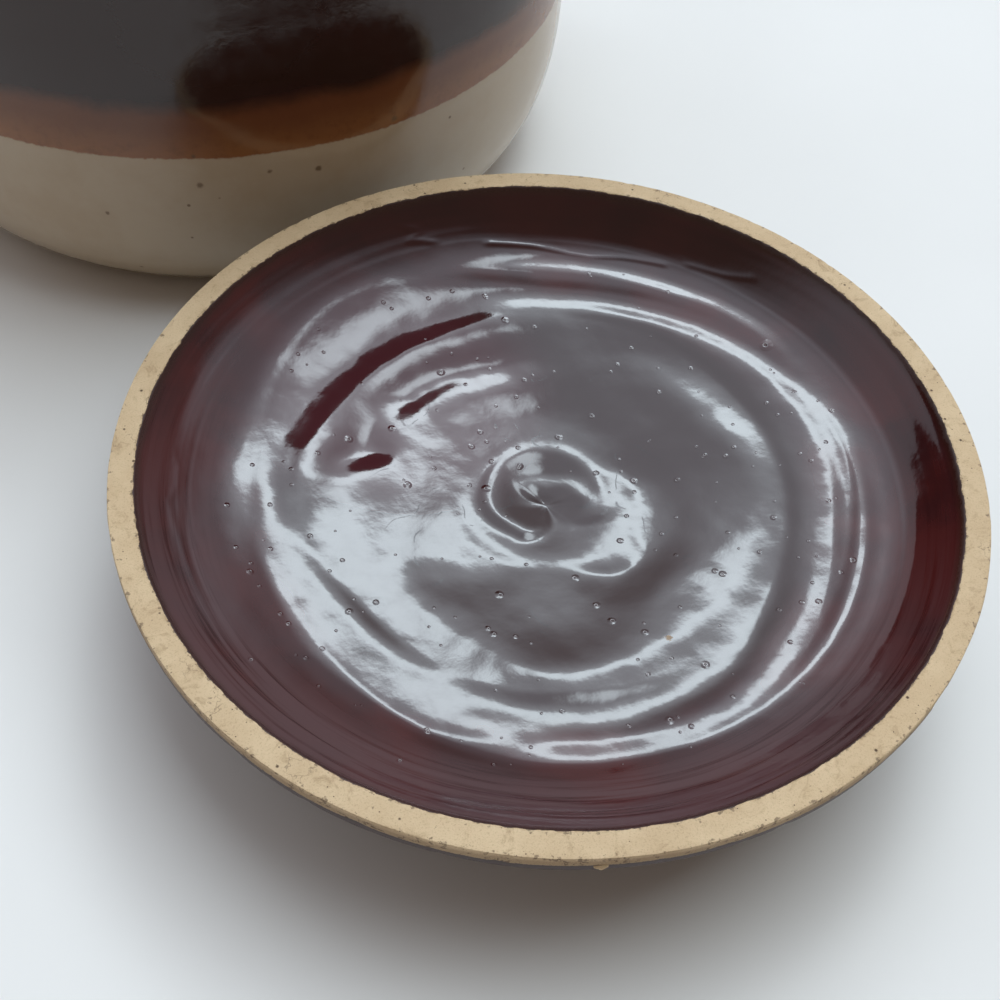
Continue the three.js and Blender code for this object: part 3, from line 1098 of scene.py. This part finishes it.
def earRoute():
    f = earForm
    low = f["middle"] - f["span"] / 2
    high = f["middle"] + f["span"] / 2
    reach = outerRadius(f["middle"]) + f["reach"]
    return [
        Vector((outerRadius(low) - 3.0, 0, low)),
        Vector((outerRadius(low) + f["reach"] * 0.5, 0, low - f["thickness"] * 0.1)),
        Vector((reach, 0, f["middle"] - f["span"] * 0.1)),
        Vector((reach - f["reach"] * 0.2, 0, high - f["thickness"] * 0.3)),
        Vector((outerRadius(high) + f["reach"] * 0.3, 0, high + f["thickness"] * 0.25)),
        Vector((outerRadius(high) - 3.0, 0, high)),
    ]


def curvePoint(points, share):
    # a smooth curve through the points, as the strap's solid has it
    padded = [2 * points[0] - points[1]] + points + [2 * points[-1] - points[-2]]
    place = min(share * (len(points) - 1), len(points) - 1 - 1e-6)
    i = int(place)
    part = place - i
    p0, p1, p2, p3 = padded[i : i + 4]
    d0 = math.sqrt((p1 - p0).length)
    d1 = math.sqrt((p2 - p1).length)
    d2 = math.sqrt((p3 - p2).length)
    t1 = ((p1 - p0) / d0 - (p2 - p0) / (d0 + d1) + (p2 - p1) / d1) * d1
    t2 = ((p2 - p1) / d1 - (p3 - p1) / (d1 + d2) + (p3 - p2) / d2) * d1
    a = 2 * p1 - 2 * p2 + t1 + t2
    b = -3 * p1 + 3 * p2 - 2 * t1 - t2
    return p1 + t1 * part + b * part**2 + a * part**3


def makeEar(name, node, side, material):
    f = earForm
    points = earRoute()
    low = points[0].z
    high = points[-1].z
    bm = bmesh.new()
    ring = bmesh.ops.create_circle(bm, cap_ends=False, segments=f["sides"], radius=mm)["verts"]
    loops = [ring]
    edges = list(bm.edges)
    for i in range(f["steps"]):
        grown = bmesh.ops.extrude_edge_only(bm, edges=edges)["geom"]
        loops.append([g for g in grown if isinstance(g, bmesh.types.BMVert)])
        edges = [g for g in grown if isinstance(g, bmesh.types.BMEdge)]
    for i, loop in enumerate(loops):
        share = i / f["steps"]
        place = curvePoint(points, share)
        ahead = curvePoint(points, min(1.0, share + 0.01)) - curvePoint(points, max(0.0, share - 0.01))
        across = ahead.normalized().cross(Vector((0, 1, 0))).normalized()
        for j, vert in enumerate(loop):
            angle = 2 * math.pi * j / f["sides"]
            spot = place + across * (f["thickness"] / 2 * math.sin(angle))
            spot.y = f["width"] / 2 * math.cos(angle)
            dent = 0.25 * noise.noise((spot.x / 9, spot.y / 9, spot.z / 9 + side * 5))
            spot += (spot - place).normalized() * (dent - 0.25)
            root = low if spot.z < (low + high) / 2 else high
            near = 1 - min(1.0, max(0.0, (spot.x - outerRadius(root)) / f["flare"]))
            wider = 1 + f["flareShare"] * near * near
            spot.y *= wider
            spot.z = root + (spot.z - root) * wider
            vert.co = mm * Vector((side * spot.x, side * spot.y, spot.z))
    bmesh.ops.recalc_face_normals(bm, faces=bm.faces)
    ends = [edge for edge in bm.edges if edge.is_boundary]
    bmesh.ops.holes_fill(bm, edges=ends, sides=0)
    bmesh.ops.recalc_face_normals(bm, faces=bm.faces)
    return makePiece(name, bm, [material], "pot", [node])


earGlaze = makeDarkFinish("ear_brown_glaze", potCentre)
makeEar("ear_strap_right", "ear_right", 1, earGlaze)
makeEar("ear_strap_left", "ear_left", -1, earGlaze)


# Table top and light: two soft patches of window high behind, a pale sky round them, a dim warm room
studio = {
    "floorSize": 30.0,
    "floorPale": tint(0.76, 0.75, 0.735),
    "floorDull": tint(0.745, 0.735, 0.72),
    "haze": {
        "turn": 6.8,
        "rise": 48.5,
        "tilt": 8.0,
        "wide": (0.0, 0.30),  # full inside the first, gone at the second
        "tall": (0.0, 0.27),
        "glow": (2.2, 2.5, 2.7),
    },
    "window": {
        "turn": 6.8,
        "rise": 48.5,
        "tilt": 8.0,
        "wide": (0.10, 0.15),
        "tall": (0.025, 0.065),
        "glow": (6.6, 7.6, 8.1),
    },
    "pane": {
        "turn": 19.0,
        "rise": 60.5,
        "tilt": 0.0,
        "wide": (0.03, 0.09),
        "tall": (0.04, 0.11),
        "glow": (5.4, 6.2, 6.6),
    },
    "skylight": {"turn": 50.0, "rise": 72.0, "width": 2.4, "glow": 3.5, "far": 3.0},
    "skylightColour": (0.84, 0.95, 1.0),
    "sky": tint(1.70, 1.84, 2.08),
    "skyTurn": -19.0,
    "skyMiddle": (-3.0, 58.0),  # turn and rise of its brightest part
    "skyEdge": 0.45,
    "side": tint(0.25, 0.24, 0.24),
    "room": tint(0.21, 0.165, 0.13),
    "backdrop": tint(0.70, 0.73, 0.74),
}


def makeFloor():
    s = studio
    bm = bmesh.new()
    bmesh.ops.create_grid(bm, x_segments=8, y_segments=8, size=s["floorSize"] / 2)
    bmesh.ops.translate(bm, verts=bm.verts, vec=(lidCentre.x, lidCentre.y, -0.3 * mm))
    mesh = bpy.data.meshes.new("table_top")
    bm.to_mesh(mesh)
    bm.free()
    material, shader, place = startMaterial("table_white", potCentre)
    haze = grain(place, 0.01, 3.0)
    colour = blendColour(step(haze, 0.3, 0.7), s["floorPale"], s["floorDull"])
    normal = bumped(grain(place, 0.9, 2.0), 0.05, 0.05)
    rough = step(haze, 0.3, 0.7, 0.55, 0.65)
    linkAll(shader, Base_Color=colour, Roughness=rough, Normal=normal, IOR=1.3)
    mesh.materials.append(material)
    floor = bpy.data.objects.new("table_top", mesh)
    bpy.context.scene.collection.objects.link(floor)


def heavens(turn, rise):
    turn = math.radians(turn)
    rise = math.radians(rise)
    level = math.cos(turn) * away + math.sin(turn) * right
    return level, math.cos(rise) * level + math.sin(rise) * up


def makeSkylight():
    w = studio["skylight"]
    level, towards = heavens(w["turn"], w["rise"])
    data = bpy.data.lights.new("skylight", "AREA")
    data.shape = "SQUARE"
    data.size = w["width"]
    data.energy = w["glow"] * math.pi * data.size**2
    data.color = studio["skylightColour"]
    lamp = bpy.data.objects.new("skylight", data)
    sideways = level.cross(up).normalized()
    axes = Matrix((sideways, towards.cross(sideways), towards)).transposed()
    lamp.matrix_world = Matrix.Translation(lidCentre + towards * w["far"]) @ axes.to_4x4()
    lamp.visible_glossy = False  # it only fills the shadows
    bpy.context.scene.collection.objects.link(lamp)


def makeSky():
    s = studio
    world = bpy.data.worlds.new("studio")
    world.use_nodes = True
    tree = world.node_tree
    glow = tree.nodes["Background"]
    compass = addNode("TexCoord", {}, tree).outputs["Generated"]

    def turned(place, rotation):
        return addNode("Mapping", {"Vector": place, "Rotation": rotation}).outputs[0]

    def facing(degrees):
        return turned(compass, (0, 0, heading + math.radians(degrees)))

    def patch(w):
        # how far a direction lies inside a soft-edged bright patch
        spot = turned(facing(w["turn"]), (-math.radians(w["rise"]), 0, 0))
        spot = addNode("SeparateXYZ", {0: spot})
        slant = times(spot.outputs[0], math.tan(math.radians(w["tilt"])))
        across = maths("ABSOLUTE", spot.outputs[0])
        upright = maths("ABSOLUTE", minus(spot.outputs[2], slant))
        wide = step(across, *w["wide"], 1.0, 0.0)
        tall = step(upright, *w["tall"], 1.0, 0.0)
        return times(times(wide, tall), step(spot.outputs[1], 0.0, 0.2))

    front = addNode("SeparateXYZ", {0: facing(0)})
    towards = addNode("SeparateXYZ", {0: facing(s["skyTurn"])})
    ahead = step(towards.outputs[1], -0.15, 0.25)
    above = step(front.outputs[2], 0.0, 0.72)
    past = minus(front.outputs[0], times(front.outputs[2], 0.75))
    clear = step(past, -0.10, 0.10, 1.0, 0.0)
    share = times(times(ahead, above), clear)
    middle = heavens(*s["skyMiddle"])[1]
    near = vectorMaths("DOT_PRODUCT", {0: compass, 1: middle}, "Value")
    share = times(share, step(near, 0.88, 1.0, s["skyEdge"], 1.0))
    colour = blendColour(step(front.outputs[1], -0.3, 0.5), s["room"], s["side"])
    colour = blendColour(share, colour, s["sky"])
    for name in ("haze", "window", "pane"):
        glare = vectorMaths("SCALE", {0: s[name]["glow"], 3: patch(s[name])})
        colour = vectorMaths("ADD", {0: colour, 1: glare})
    seen = addNode("LightPath", {}, tree).outputs["Is Camera Ray"]
    colour = blendColour(seen, colour, s["backdrop"])
    tree.links.new(colour, glow.inputs["Color"])
    bpy.context.scene.world = world


makeFloor()
makeSkylight()
makeSky()
bpy.context.scene.view_settings.view_transform = "Standard"
print("table and light set")
